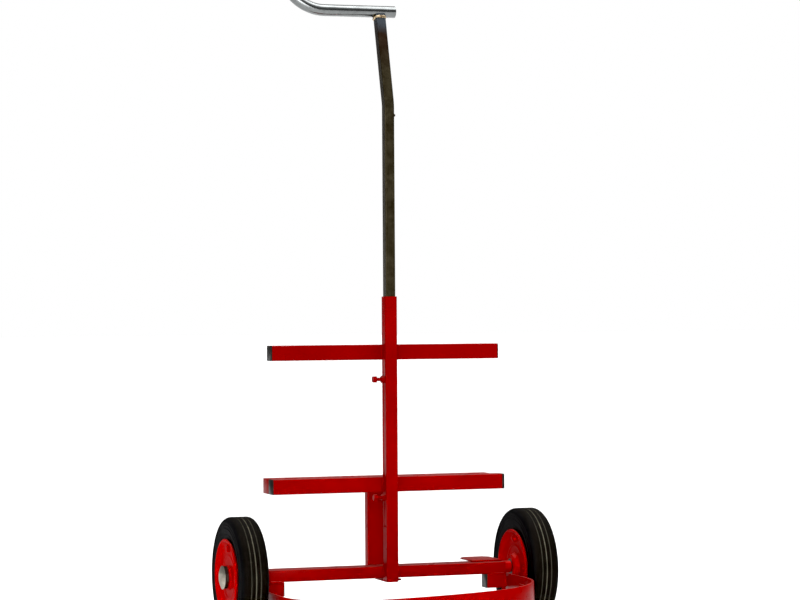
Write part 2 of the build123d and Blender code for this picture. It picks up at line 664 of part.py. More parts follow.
def make_hub_cap(side_name, side):
    """A domed sheet cap pressed on the outer end of the hub."""
    radius = HUB_CAP_DIAMETER / 2
    sheet = HUB_CAP_SHEET
    rim_x = HUB_OUTER_X - WHEEL_MID_X + HUB_CAP_OVERHANG
    skin = dome_outline(rim_x, radius, HUB_CAP_DOME, HUB_CAP_SKIRT, radius - sheet)
    room = dome_outline(rim_x, radius - 2 * sheet, HUB_CAP_DOME - sheet, HUB_CAP_SKIRT, HUB_DIAMETER / 2)
    save(f"{side_name}_hub_cap", turned(skin, side) - turned(room, side))


def main():
    os.makedirs("parts", exist_ok=True)
    make_mast()
    make_crossbars()
    make_rear_frame()
    make_beam()
    make_pedal()
    make_hoop()
    make_tray()
    make_hangers()
    make_feet()
    seat = make_inner_tube()
    make_handle(seat)
    make_clamps()
    for side_name, side in SIDES.items():
        make_tyre(side_name, side)
        make_rim(side_name, side)
        make_hub(side_name, side)
        make_hub_cap(side_name, side)


main()
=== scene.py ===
import json
import math

import bmesh
import bpy
from mathutils import Matrix, Vector, noise


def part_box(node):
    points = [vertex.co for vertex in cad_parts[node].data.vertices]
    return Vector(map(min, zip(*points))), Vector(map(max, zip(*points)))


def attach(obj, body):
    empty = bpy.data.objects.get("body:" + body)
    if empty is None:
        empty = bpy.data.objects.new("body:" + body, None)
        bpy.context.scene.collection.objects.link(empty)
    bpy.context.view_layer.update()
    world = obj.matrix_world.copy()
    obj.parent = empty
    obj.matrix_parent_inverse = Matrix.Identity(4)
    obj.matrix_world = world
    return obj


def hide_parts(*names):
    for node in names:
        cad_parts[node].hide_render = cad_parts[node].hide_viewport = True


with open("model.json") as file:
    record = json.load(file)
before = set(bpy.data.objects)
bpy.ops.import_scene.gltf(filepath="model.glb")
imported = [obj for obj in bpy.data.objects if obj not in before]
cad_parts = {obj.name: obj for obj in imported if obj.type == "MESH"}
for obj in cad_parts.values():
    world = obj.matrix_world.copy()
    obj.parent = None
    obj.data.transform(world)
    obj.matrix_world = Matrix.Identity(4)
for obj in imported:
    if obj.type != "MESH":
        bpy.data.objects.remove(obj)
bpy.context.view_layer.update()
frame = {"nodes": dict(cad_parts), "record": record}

# Looks of a two-wheeled trolley for portable fire extinguishers: its camera and studio, its
# materials and the finer pieces that stand for the plainer solids of the frame. Lengths are in
# metres. X runs to the right along the axle, Y to the back and Z up, and the floor is z = 0.

MM = 0.001

# Places read from the frame
SIDES = {"left": -1, "right": 1}
TYRE_LOW, TYRE_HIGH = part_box("left_tyre")
AXLE_Y = (TYRE_LOW.y + TYRE_HIGH.y) / 2
AXLE_Z = (TYRE_LOW.z + TYRE_HIGH.z) / 2
WHEEL_MID_X = abs(TYRE_LOW.x + TYRE_HIGH.x) / 2
TYRE_RADIUS = (TYRE_HIGH.z - TYRE_LOW.z) / 2
TYRE_HALF = (TYRE_HIGH.x - TYRE_LOW.x) / 2
MAST_LOW, MAST_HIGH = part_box("mast_outer_tube")
MAST_HALF = (MAST_HIGH.x - MAST_LOW.x) / 2

# The tread's grooves, across the tyre from its middle
TREAD_GROOVES = (-10.0 * MM, 0.0, 10.0 * MM)
GROOVE_HALF = 0.9 * MM
GROOVE_DEPTH = 1.7 * MM
GROOVE_WALL = 0.4 * MM


# ---------------------------------------------------------------- camera and studio

# Where the camera stands, and how far it turns from +Y, tips up and rolls
CAMERA_PLACE = (-1.889, -5.417, 0.684)
CAMERA_YAW = math.radians(18.89)
CAMERA_PITCH = math.radians(0.16)
CAMERA_ROLL = math.radians(-0.36)
CAMERA_LENS = 123.66
CAMERA_SHIFT_X = 0.02125
SENSOR_WIDTH = 36.0
CLIP_END = 100.0
BLACK_LEVEL = 0.006
FLOOR_HALF = 60.0
# The studio's light by the height that it comes from: 0 is the horizon and all that is below it,
# and 1 is straight up
SKY_LEVELS = ((0.0, 0.16), (0.42, 0.26), (0.84, 1.4), (1.0, 5.0))


def make_camera():
    """The camera, turned from +Y by its yaw, then tipped by its pitch and rolled."""
    data = bpy.data.cameras.new("camera")
    data.lens = CAMERA_LENS
    data.sensor_width = SENSOR_WIDTH
    data.shift_x = CAMERA_SHIFT_X
    data.clip_end = CLIP_END
    camera = bpy.data.objects.new("camera", data)
    bpy.context.scene.collection.objects.link(camera)
    level = Vector((math.sin(CAMERA_YAW), math.cos(CAMERA_YAW), 0.0))
    right = Vector((math.cos(CAMERA_YAW), -math.sin(CAMERA_YAW), 0.0))
    up = Vector((0.0, 0.0, 1.0))
    forward = level * math.cos(CAMERA_PITCH) + up * math.sin(CAMERA_PITCH)
    above = up * math.cos(CAMERA_PITCH) - level * math.sin(CAMERA_PITCH)
    rolled_right = right * math.cos(CAMERA_ROLL) + above * math.sin(CAMERA_ROLL)
    rolled_up = above * math.cos(CAMERA_ROLL) - right * math.sin(CAMERA_ROLL)
    turn = Matrix((rolled_right, rolled_up, -forward)).transposed()
    camera.matrix_world = Matrix.Translation(CAMERA_PLACE) @ turn.to_4x4()
    bpy.context.scene.camera = camera


def set_film():
    """Plain film response, with the deepest shades drawn down to black."""
    view = bpy.context.scene.view_settings
    view.view_transform = "Standard"
    view.use_curve_mapping = True
    view.curve_mapping.black_level = (BLACK_LEVEL, BLACK_LEVEL, BLACK_LEVEL)


def add_area_light(name, place, target, size, power):
    data = bpy.data.lights.new(name, "AREA")
    data.shape = "RECTANGLE"
    data.size, data.size_y = size
    data.energy = power
    light = bpy.data.objects.new(name, data)
    bpy.context.scene.collection.objects.link(light)
    light.location = place
    light.rotation_euler = (Vector(target) - Vector(place)).to_track_quat("-Z", "Y").to_euler()
    return light


def make_world():
    """White where it is seen directly; as light, bright above and dim along the horizon."""
    world = bpy.data.worlds.new("studio")
    bpy.context.scene.world = world
    world.use_nodes = True
    tree = world.node_tree
    tree.nodes.clear()
    output = tree.nodes.new("ShaderNodeOutputWorld")
    mix = tree.nodes.new("ShaderNodeMixShader")
    seen = tree.nodes.new("ShaderNodeBackground")
    seen.inputs["Color"].default_value = (1.0, 1.0, 1.0, 1.0)
    seen.inputs["Strength"].default_value = 1.0
    light = tree.nodes.new("ShaderNodeBackground")
    light.inputs["Strength"].default_value = 1.0
    coords = tree.nodes.new("ShaderNodeTexCoord")
    split = tree.nodes.new("ShaderNodeSeparateXYZ")
    tree.links.new(coords.outputs["Generated"], split.inputs[0])
    ramp = tree.nodes.new("ShaderNodeValToRGB")
    stops = ramp.color_ramp.elements
    for height, _ in SKY_LEVELS[1:-1]:
        stops.new(height)
    for stop, (height, level) in zip(stops, SKY_LEVELS):
        stop.position = height
        stop.color = (level, level, level, 1.0)
    tree.links.new(split.outputs["Z"], ramp.inputs["Fac"])
    tree.links.new(ramp.outputs["Color"], light.inputs["Color"])
    path = tree.nodes.new("ShaderNodeLightPath")
    tree.links.new(path.outputs["Is Camera Ray"], mix.inputs["Fac"])
    tree.links.new(light.outputs[0], mix.inputs[1])
    tree.links.new(seen.outputs[0], mix.inputs[2])
    tree.links.new(mix.outputs[0], output.inputs["Surface"])


def make_floor():
    """A plain pale floor, wide enough to reach past the view."""
    shape = bmesh.new()
    corners = ((-1, -1), (1, -1), (1, 1), (-1, 1))
    shape.faces.new([shape.verts.new((x * FLOOR_HALF, y * FLOOR_HALF, 0.0)) for x, y in corners])
    mesh = bpy.data.meshes.new("floor")
    shape.to_mesh(mesh)
    shape.free()
    floor = bpy.data.objects.new("floor", mesh)
    bpy.context.scene.collection.objects.link(floor)
    material, tree, shader = new_material("floor_paper")
    grain = add_noise(tree, object_coords(tree), 3.0, 3.0)
    paper = ramp_colour(tree, grain, (0.90, 0.90, 0.90), (0.93, 0.93, 0.93))
    link_colour(tree, shader, "Base Color", paper)
    shader.inputs["Roughness"].default_value = 1.0
    shader.inputs["Specular IOR Level"].default_value = 0.0
    mesh.materials.append(material)


def make_lights():
    add_area_light("top_softbox", (0.7, 0.0, 3.1), (0, 0, 0.6), (1.9, 1.9), 46.0)
    add_area_light("front_softbox", (-1.6, -4.4, 1.3), (0, 0, 0.5), (3.0, 2.0), 120.0)
    low = add_area_light("low_softbox", (-1.2, -3.4, 0.5), (0, 0.1, 0.08), (1.0, 0.3), 1.0)
    low.data.spread = math.radians(14)


# ---------------------------------------------------------------- materials

def new_material(name):
    material = bpy.data.materials.new(name)
    material.use_nodes = True
    tree = material.node_tree
    shader = tree.nodes["Principled BSDF"]
    return material, tree, shader


def object_coords(tree, stretch=(1.0, 1.0, 1.0)):
    coords = tree.nodes.new("ShaderNodeTexCoord")
    mapping = tree.nodes.new("ShaderNodeMapping")
    mapping.inputs["Scale"].default_value = stretch
    tree.links.new(coords.outputs["Object"], mapping.inputs["Vector"])
    return mapping.outputs["Vector"]


def add_noise(tree, coords, scale, detail, roughness=0.55):
    node = tree.nodes.new("ShaderNodeTexNoise")
    node.inputs["Scale"].default_value = scale
    node.inputs["Detail"].default_value = detail
    node.inputs["Roughness"].default_value = roughness
    tree.links.new(coords, node.inputs["Vector"])
    return node.outputs["Fac"]


def add_math(tree, operation, first, second, clamp=False):
    node = tree.nodes.new("ShaderNodeMath")
    node.operation = operation
    node.use_clamp = clamp
    for socket, value in zip(node.inputs, (first, second)):
        if isinstance(value, (int, float)):
            socket.default_value = value
        else:
            tree.links.new(value, socket)
    return node.outputs[0]


def ramp_value(tree, value, low, high, at_low, at_high):
    """Carries a value from the range low..high to the range at_low..at_high."""
    node = tree.nodes.new("ShaderNodeMapRange")
    node.inputs["From Min"].default_value = low
    node.inputs["From Max"].default_value = high
    node.inputs["To Min"].default_value = at_low
    node.inputs["To Max"].default_value = at_high
    tree.links.new(value, node.inputs["Value"])
    return node.outputs["Result"]


def ramp_colour(tree, value, low_colour, high_colour, low=0.3, high=0.7):
    node = tree.nodes.new("ShaderNodeValToRGB")
    stops = node.color_ramp.elements
    stops[0].position = low
    stops[0].color = (*low_colour, 1.0)
    stops[1].position = high
    stops[1].color = (*high_colour, 1.0)
    tree.links.new(value, node.inputs["Fac"])
    return node.outputs["Color"]


def mix_colour(tree, factor, first, second):
    """second laid over first where factor is 1; each is a colour or an output."""
    node = tree.nodes.new("ShaderNodeMix")
    node.data_type = "RGBA"
    tree.links.new(factor, node.inputs["Factor"])
    sockets = [s for s in node.inputs if s.type == "RGBA"]
    for socket, value in zip(sockets, (first, second)):
        if isinstance(value, tuple):
            socket.default_value = (*value, 1.0)
        else:
            tree.links.new(value, socket)
    return [s for s in node.outputs if s.type == "RGBA"][0]


def link_colour(tree, shader, socket, colour):
    tree.links.new(colour, shader.inputs[socket])


def add_bump(tree, shader, height, distance):
    node = tree.nodes.new("ShaderNodeBump")
    node.inputs["Distance"].default_value = distance
    node.inputs["Strength"].default_value = 1.0
    tree.links.new(height, node.inputs["Height"])
    tree.links.new(node.outputs["Normal"], shader.inputs["Normal"])


EDGE_SAMPLES = 4
# Cosines between the rounded and the flat normal, for unworn ground and for a worn edge
EDGE_FLAT = 0.985
EDGE_SHARP = 0.90
# The upward share of a normal where dust starts to lie, and where it lies fully
DUST_STARTS = 0.6
DUST_FULL = 0.98


def edge_mask(tree, radius):
    """1 along the outer edges and corners, where paint wears first, and 0 on flat ground."""
    bevel = tree.nodes.new("ShaderNodeBevel")
    bevel.samples = EDGE_SAMPLES
    bevel.inputs["Radius"].default_value = radius
    geometry = tree.nodes.new("ShaderNodeNewGeometry")
    dot = tree.nodes.new("ShaderNodeVectorMath")
    dot.operation = "DOT_PRODUCT"
    tree.links.new(bevel.outputs["Normal"], dot.inputs[0])
    tree.links.new(geometry.outputs["Normal"], dot.inputs[1])
    return ramp_value(tree, dot.outputs["Value"], EDGE_FLAT, EDGE_SHARP, 0.0, 1.0)


def up_mask(tree):
    """1 on faces that look up, where dust settles, and 0 on the others."""
    geometry = tree.nodes.new("ShaderNodeNewGeometry")
    split = tree.nodes.new("ShaderNodeSeparateXYZ")
    tree.links.new(geometry.outputs["Normal"], split.inputs[0])
    return ramp_value(tree, split.outputs["Z"], DUST_STARTS, DUST_FULL, 0.0, 1.0)


def painted_metal(name, main, deep, gloss):
    """Sprayed gloss enamel: orange peel, slow drift in tone, dust on top and chipped edges."""
    material, tree, shader = new_material(name)
    coords = object_coords(tree)
    drift = add_noise(tree, coords, 9.0, 4.0)
    paint = ramp_colour(tree, drift, deep, main)
    speck = add_noise(tree, coords, 240.0, 3.0, 0.7)
    dust = add_math(tree, "MULTIPLY", up_mask(tree), ramp_value(tree, speck, 0.35, 0.7, 0.06, 0.17))
    dusty = mix_colour(tree, dust, paint, (0.42, 0.24, 0.21))
    patches = add_noise(tree, coords, 160.0, 4.0, 0.75)
    worn = ramp_value(tree, patches, 0.60, 0.66, 0.0, 0.85)
    chips = add_math(tree, "MULTIPLY", edge_mask(tree, 0.9 * MM), worn, clamp=True)
    chipped = mix_colour(tree, chips, dusty, (0.10, 0.045, 0.035))
    link_colour(tree, shader, "Base Color", chipped)
    smear = add_noise(tree, coords, 35.0, 5.0, 0.65)
    tree.links.new(ramp_value(tree, smear, 0.3, 0.7, 0.24, 0.38), shader.inputs["Roughness"])
    peel = add_noise(tree, coords, 420.0, 2.0)
    add_bump(tree, shader, peel, 0.05 * MM)
    shader.inputs["Specular IOR Level"].default_value = gloss
    shader.inputs["Coat Weight"].default_value = gloss
    shader.inputs["Coat Roughness"].default_value = 0.12
    return material


# How strongly the two side grooves carry the painted highlight, against the middle groove
SIDE_GROOVE_HIGHLIGHT = 0.4


def groove_highlight_mask(tree, across, radius):
    """1 on the pale lines in the tread's grooves, a painted highlight, given the place across the tread
    and the radius.
    """
    total = 0.0
    for offset in TREAD_GROOVES:
        fullness = 1.0 if offset == 0.0 else SIDE_GROOVE_HIGHLIGHT
        away = add_math(tree, "ABSOLUTE", add_math(tree, "SUBTRACT", across, offset), 0.0)
        line = ramp_value(tree, away, GROOVE_HALF, GROOVE_HALF + GROOVE_WALL, fullness, 0.0)
        total = add_math(tree, "ADD", line, total, clamp=True)
    sunk = ramp_value(tree, radius, TYRE_RADIUS - 12 * MM, TYRE_RADIUS - 10 * MM, 0.0, 1.0)
    return add_math(tree, "MULTIPLY", total, sunk, clamp=True)


def tyre_rubber():
    """Black rubber: pale lines in the grooves as a painted highlight, a scuffed tread and fine mould
    grain.
    """
    material, tree, shader = new_material("tyre_rubber")
    coords_node = tree.nodes.new("ShaderNodeTexCoord")
    split = tree.nodes.new("ShaderNodeSeparateXYZ")
    tree.links.new(coords_node.outputs["Object"], split.inputs[0])
    from_axle_y = add_math(tree, "SUBTRACT", split.outputs["Y"], AXLE_Y)
    from_axle_z = add_math(tree, "SUBTRACT", split.outputs["Z"], AXLE_Z)
    square_y = add_math(tree, "MULTIPLY", from_axle_y, from_axle_y)
    square_z = add_math(tree, "MULTIPLY", from_axle_z, from_axle_z)
    radius = add_math(tree, "SQRT", add_math(tree, "ADD", square_y, square_z), 0.0)
    on_tread = ramp_value(tree, radius, TYRE_RADIUS - 5 * MM, TYRE_RADIUS - 1 * MM, 0.0, 1.0)
    coords = object_coords(tree)
    drift = add_noise(tree, coords, 28.0, 5.0, 0.65)
    side_colour = ramp_colour(tree, drift, (0.0022, 0.0022, 0.0025), (0.0046, 0.0046, 0.0050))
    tread_colour = ramp_colour(tree, drift, (0.0022, 0.0017, 0.0012), (0.0048, 0.0038, 0.0028))
    worn_tread = mix_colour(tree, on_tread, side_colour, tread_colour)
    from_middle = add_math(tree, "ABSOLUTE", split.outputs["X"], 0.0)
    across = add_math(tree, "SUBTRACT", from_middle, WHEEL_MID_X)
    # Pale lines laid in the grooves are a painted highlight on the tread, uneven along it
    groove_highlight = groove_highlight_mask(tree, across, radius)
    patchy_groove_highlight = add_math(tree, "MULTIPLY", groove_highlight, ramp_value(tree, drift, 0.3, 0.65, 0.45, 1.0))
    rubber = mix_colour(tree, patchy_groove_highlight, worn_tread, (0.105, 0.098, 0.072))
    specks = add_noise(tree, coords, 600.0, 3.0, 0.8)
    dust = ramp_value(tree, specks, 0.62, 0.78, 0.0, 0.15)
    link_colour(tree, shader, "Base Color", mix_colour(tree, dust, rubber, (0.034, 0.031, 0.026)))
    tree.links.new(ramp_value(tree, drift, 0.3, 0.7, 0.58, 0.75), shader.inputs["Roughness"])
    grain = add_noise(tree, coords, 1400.0, 3.0, 0.6)
    add_bump(tree, shader, add_math(tree, "ADD", grain, drift), 0.12 * MM)
    shader.inputs["Specular IOR Level"].default_value = 0.03
    return material


def plated_steel(name, dark, light, roughness, along, edge=1.0):
    """Zinc-plated or bare steel: a cloudy coat, fine drawn lines along the part and small stains."""
    material, tree, shader = new_material(name)
    coords = object_coords(tree)
    cloud = add_noise(tree, coords, 45.0, 5.0, 0.65)
    lines = add_noise(tree, object_coords(tree, along), 1.0, 4.0, 0.6)
    cloud_share = add_math(tree, "MULTIPLY", cloud, 0.55)
    line_share = add_math(tree, "MULTIPLY", lines, 0.45)
    mixed = add_math(tree, "ADD", cloud_share, line_share)
    steel = ramp_colour(tree, mixed, dark, light, 0.38, 0.62)
    stains = add_noise(tree, coords, 130.0, 6.0, 0.8)
    stain_mask = ramp_value(tree, stains, 0.60, 0.72, 0.0, 0.5)
    shade = tuple(0.45 * value for value in dark)
    link_colour(tree, shader, "Base Color", mix_colour(tree, stain_mask, steel, shade))
    tree.links.new(ramp_value(tree, mixed, 0.35, 0.65, *roughness), shader.inputs["Roughness"])
    add_bump(tree, shader, lines, 0.03 * MM)
    shader.inputs["Metallic"].default_value = 1.0
    shader.inputs["Specular Tint"].default_value = (edge, edge, edge, 1.0)
    return material


def heat_tinted_steel(name, dark, light, top_z):
    """Bare steel blued and browned by the heat of the braze at its upper end, at height top_z."""
    fine = 2600.0
    material = plated_steel(name, dark, light, (0.38, 0.52), (fine, fine, 14.0))
    tree = material.node_tree
    shader = tree.nodes["Principled BSDF"]
    steel = shader.inputs["Base Color"].links[0].from_socket
    coords = object_coords(tree)
    split = tree.nodes.new("ShaderNodeSeparateXYZ")
    tree.links.new(coords, split.inputs[0])
    wander = add_math(tree, "MULTIPLY", add_noise(tree, coords, 22.0, 3.0), 60 * MM)
    height = add_math(tree, "ADD", split.outputs["Z"], wander)
    browned = ramp_value(tree, height, top_z - 110 * MM, top_z - 20 * MM, 0.0, 0.85)
    blued = ramp_value(tree, height, top_z - 20 * MM, top_z + 8 * MM, 0.0, 0.9)
    brown = mix_colour(tree, browned, steel, (0.026, 0.013, 0.009))
    link_colour(tree, shader, "Base Color", mix_colour(tree, blued, brown, (0.060, 0.072, 0.085)))
    return material


def moulded_plastic(name, dark, light, roughness):
    """Moulded plastic or rubber: a slow drift in tone, an uneven sheen and a fine mould grain."""
    material, tree, shader = new_material(name)
    coords = object_coords(tree)
    drift = add_noise(tree, coords, 60.0, 4.0)
    link_colour(tree, shader, "Base Color", ramp_colour(tree, drift, dark, light))
    dulled = ramp_value(tree, drift, 0.3, 0.7, roughness - 0.08, roughness + 0.08)
    tree.links.new(dulled, shader.inputs["Roughness"])
    add_bump(tree, shader, add_noise(tree, coords, 1800.0, 2.0), 0.05 * MM)
    shader.inputs["Specular IOR Level"].default_value = 0.08
    return material


def brazed_metal():
    """Brass-coloured filler with burnt flux round it."""
    material, tree, shader = new_material("braze")
    coords = object_coords(tree)
    burn = add_noise(tree, coords, 190.0, 5.0, 0.7)
    gold = ramp_colour(tree, burn, (0.085, 0.050, 0.022), (0.56, 0.44, 0.27), 0.40, 0.60)
    link_colour(tree, shader, "Base Color", gold)
    tree.links.new(ramp_value(tree, burn, 0.3, 0.7, 0.55, 0.3), shader.inputs["Roughness"])
    add_bump(tree, shader, burn, 0.4 * MM)
    shader.inputs["Metallic"].default_value = 0.85
    return material


def make_materials():
    """One material for each slot.

    A steel's drawn lines run along the axis with the smallest scale, or no way if all are even.
    """
    fine = 2600.0
    even = (450.0, 450.0, 450.0)
    return {
        "red_paint": painted_metal(
            "red_paint", main=(0.222, 0.0010, 0.0007), deep=(0.178, 0.0006, 0.0005), gloss=0.02
        ),
        "rim_paint": painted_metal(
            "rim_paint", main=(0.36, 0.0012, 0.0008), deep=(0.26, 0.0008, 0.0006), gloss=0.004
        ),
        "tyre_rubber": tyre_rubber(),
        "zinc_steel": plated_steel(
            "zinc_steel", dark=(0.20, 0.18, 0.15), light=(0.44, 0.41, 0.35),
            roughness=(0.30, 0.46), along=even, edge=0.5,
        ),
        "axle_steel": plated_steel(
            "axle_steel", dark=(0.16, 0.15, 0.14), light=(0.34, 0.33, 0.31),
            roughness=(0.28, 0.42), along=(40.0, fine, fine), edge=0.6,
        ),
        "bare_steel": heat_tinted_steel(
            "bare_steel", dark=(0.020, 0.015, 0.007), light=(0.054, 0.045, 0.027),
            top_z=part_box("inner_tube")[1].z,
        ),
        "handle_steel": plated_steel(
            "handle_steel", dark=(0.125, 0.13, 0.13), light=(0.19, 0.20, 0.20),
            roughness=(0.12, 0.20), along=(18.0, fine, fine),
        ),
        "dark_steel": plated_steel(
            "dark_steel", dark=(0.022, 0.019, 0.016), light=(0.060, 0.052, 0.044),
            roughness=(0.38, 0.52), along=even, edge=0.2,
        ),
        "braze": brazed_metal(),
        "black_plastic": moulded_plastic(
            "black_plastic", dark=(0.009, 0.008, 0.007), light=(0.018, 0.016, 0.014), roughness=0.42
        ),
        "foot_rubber": moulded_plastic(
            "foot_rubber", dark=(0.012, 0.012, 0.012), light=(0.026, 0.026, 0.025), roughness=0.7
        ),
    }


# ---------------------------------------------------------------- mesh helpers

SMOOTH_ANGLE = math.radians(38)
SHARP_ANGLE = math.radians(50)
FLAT_ANGLE = math.radians(0.6)
CORNER_CUT = 0.25


def finish_piece(name, shape, slot, body, replaced=(), smooth_angle=SMOOTH_ANGLE):
    """Turn a bmesh into a named piece with its material, its body and the nodes it stands for."""
    bmesh.ops.recalc_face_normals(shape, faces=shape.faces)
    mesh = bpy.data.meshes.new(name)
    shape.to_mesh(mesh)
    shape.free()
    for face in mesh.polygons:
        face.use_smooth = True
    mesh.set_sharp_from_angle(angle=smooth_angle)
    mesh.materials.append(MATERIALS[slot])
    piece = bpy.data.objects.new(name, mesh)
    bpy.context.scene.collection.objects.link(piece)
    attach(piece, body)
    if replaced:
        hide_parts(*replaced)
    return piece


def softened(node, slot, body, width):
    """A finer copy of a CAD node: flat ground joined into whole faces, sharp edges rounded."""
    shape = bmesh.new()
    shape.from_mesh(frame["nodes"][node].data)
    bmesh.ops.remove_doubles(shape, verts=shape.verts, dist=0.004 * MM)
    bmesh.ops.dissolve_limit(
        shape, angle_limit=FLAT_ANGLE, verts=shape.verts, edges=shape.edges
    )
    shared = [edge for edge in shape.edges if len(edge.link_faces) == 2]
    sharp = [edge for edge in shared if edge.calc_face_angle() > SHARP_ANGLE]
    bmesh.ops.bevel(
        shape, geom=sharp, offset=width, segments=2, profile=0.5, affect="EDGES", clamp_overlap=True
    )
    return finish_piece(f"{node}.fine", shape, slot, body, (node,))


def bridge(shape, lower, upper):
    """A band of faces between two rings of the same number of points."""
    count = len(lower)
    for index in range(count):
        after = (index + 1) % count
        shape.faces.new((lower[index], lower[after], upper[after], upper[index]))


def close_tube(shape, rings):
    """Faces between each ring and the next, and one face over each end."""
    for lower, upper in zip(rings, rings[1:]):
        bridge(shape, lower, upper)
    shape.faces.new(list(reversed(rings[0])))
    shape.faces.new(rings[-1])


def axis_transform(place, axis):
    """The transform whose origin is at place and whose Z runs along the unit vector axis."""
    turn = Vector(axis).to_track_quat("Z", "X").to_matrix().to_4x4()
    return Matrix.Translation(place) @ turn


def lathe(profile, mid_x, turns):
    """Revolve a closed outline of (x offset, radius) about the wheel's axle line at mid_x."""
    shape = bmesh.new()
    rings = []
    for index in range(turns):
        angle = 2 * math.pi * index / turns
        ring = []
        for x, radius in profile:
            y = AXLE_Y + radius * math.cos(angle)
            z = AXLE_Z + radius * math.sin(angle)
            ring.append(shape.verts.new((mid_x + x, y, z)))
        rings.append(ring)
    for index in range(turns):
        bridge(shape, rings[index], rings[(index + 1) % turns])
    bmesh.ops.remove_doubles(shape, verts=shape.verts, dist=0.001 * MM)
    return shape


def rounded_corners(points, rounds):
    """Cut the corners of a closed outline, as many times over as rounds says, to smooth them."""
    for _ in range(rounds):
        cut = []
        for a, b in zip(points, points[1:] + points[:1]):
            cut.append(tuple(u + (v - u) * CORNER_CUT for u, v in zip(a, b)))
            cut.append(tuple(v + (u - v) * CORNER_CUT for u, v in zip(a, b)))
        points = cut
    return points


def smooth_step(value, low, high):
    """0 up to low, 1 from high on, and an even S between them."""
    share = min(1.0, max(0.0, (value - low) / (high - low)))
    return share * share * (3 - 2 * share)


# ---------------------------------------------------------------- wheels

SHOULDER = 14.0 * MM
BEAD_RADIUS = 76.0 * MM
BEAD_HALF = 25.8 * MM
BELLY_HEIGHT = 22 * MM
WALL_INSET = 0.9 * MM
MOULD_RINGS = (88.0 * MM, 100.0 * MM, 107.5 * MM)
MOULD_RING_HEIGHT = 0.8 * MM
MOULD_RING_HALF = 1.3 * MM


def tread_radius(x):
    """The tyre's outer radius at a distance from its middle: crown, shoulders and grooves."""
    flat_half = TYRE_HALF - SHOULDER
    over = max(0.0, abs(x) - flat_half)
    drop = SHOULDER - math.sqrt(max(0.0, SHOULDER**2 - over**2))
    groove = 0.0
    for middle in TREAD_GROOVES:
        away = abs(x - middle)
        wall = smooth_step(away, GROOVE_HALF - GROOVE_WALL, GROOVE_HALF + GROOVE_WALL)
        groove = max(groove, 1.0 - wall)
    return TYRE_RADIUS - drop - GROOVE_DEPTH * groove


def sidewall_x(radius):
    """The tyre's half-width at a radius below the shoulder, with three raised mould rings."""
    belly = smooth_step(radius, BEAD_RADIUS, BEAD_RADIUS + BELLY_HEIGHT)
    half = BEAD_HALF + (TYRE_HALF - WALL_INSET - BEAD_HALF) * belly
    for ring in MOULD_RINGS:
        half += MOULD_RING_HEIGHT * max(0.0, 1.0 - (abs(radius - ring) / MOULD_RING_HALF) ** 2)
    return min(half, TYRE_HALF)


def make_tyre(side_name, side):
    body = f"{side_name}_wheel"
    steps_across = 240
    steps_down = 70
    flat = TYRE_HALF - 0.02 * MM
    outer = []
    for index in range(steps_across + 1):
        x = -flat + 2 * flat * index / steps_across
        outer.append((x, tread_radius(x)))
    low, high = BEAD_RADIUS, TYRE_RADIUS - SHOULDER
    wall = []
    for index in range(steps_down):
        radius = high - (high - low) * (index + 1) / steps_down
        wall.append((sidewall_x(radius), radius))
    mirrored = [(-x, radius) for x, radius in reversed(wall)]
    profile = outer + wall + mirrored
    shape = lathe(profile, side * WHEEL_MID_X, 160)
    replaced = (f"{side_name}_tyre",)
    finish_piece(f"{side_name}_tyre.rubber", shape, "tyre_rubber", body, replaced, math.radians(60))


# Rim sizes in millimetres, out from the wheel's middle plane and from its axle. A collar's points
# are counted from the face of the web and from the hub.
RIM_WEB = 24.0
RIM_SHEET = 2.4
SWAGE_HEIGHT = 0.9
HUB_RADIUS = 22.5
COLLARS = {
    "outer": ((0.0, 0.0), (3.4, 0.0), (3.4, 1.0), (2.4, 2.2), (1.0, 3.4), (0.0, 3.4)),
    "inner": ((0.0, 0.0), (11.0, 0.0), (11.0, 1.6), (9.6, 3.2), (4.0, 3.6), (1.2, 6.0), (0.0, 6.0)),
}


def rim_profile():
    """The section of a pressed rim disc: web with a swage round the hub, dish and rolled lip."""
    web = RIM_WEB
    back = RIM_WEB - RIM_SHEET
    swage = SWAGE_HEIGHT
    points = [
        (web, HUB_RADIUS), (web, 40.0), (web + swage, 42.5), (web + swage, 45.5), (web, 48.0),
        (web, 66.5), (web + 1.6, 69.5), (28.8, 72.3), (31.6, 74.3), (33.0, 76.6), (32.4, 79.3),
        (30.2, 80.0), (28.0, 79.0), (28.6, 76.8), (26.4, 74.2), (back + 1.0, 71.0),
        (back, 67.5), (back, 48.4), (back + swage, 45.8), (back + swage, 42.2), (back, 39.6),
        (back, HUB_RADIUS),
    ]
    return [(x * MM, r * MM) for x, r in points]


def make_rims(side_name, side):
    """The wheel's two pressed discs, and the collars round the hub that hold them."""
    body = f"{side_name}_wheel"
    middle = side * WHEEL_MID_X
    for disc, facing in (("outer", side), ("inner", -side)):
        section = [(facing * x, r) for x, r in rounded_corners(rim_profile(), 3)]
        shape = lathe(section, middle, 144)
        replaced = (f"{side_name}_rim_{disc}_disc",)
        finish_piece(f"{side_name}_rim_{disc}.pressing", shape, "rim_paint", body, replaced)
        collar = [
            (facing * (RIM_WEB + x) * MM, (HUB_RADIUS + r) * MM) for x, r in COLLARS[disc]
        ]
        shape = lathe(rounded_corners(collar, 2), middle, 96)
        finish_piece(f"{side_name}_rim_{disc}.collar", shape, "rim_paint", body)


# Shares of a head's height where its chamfer starts on the flats, and how much lower it cuts the
# corners; then the top's share of the half-width, and its flat middle's share of the top
CHAMFER_START = 0.86
CHAMFER_DROP = 0.10
TOP_WIDTH = 0.96
TOP_FLAT = 0.82


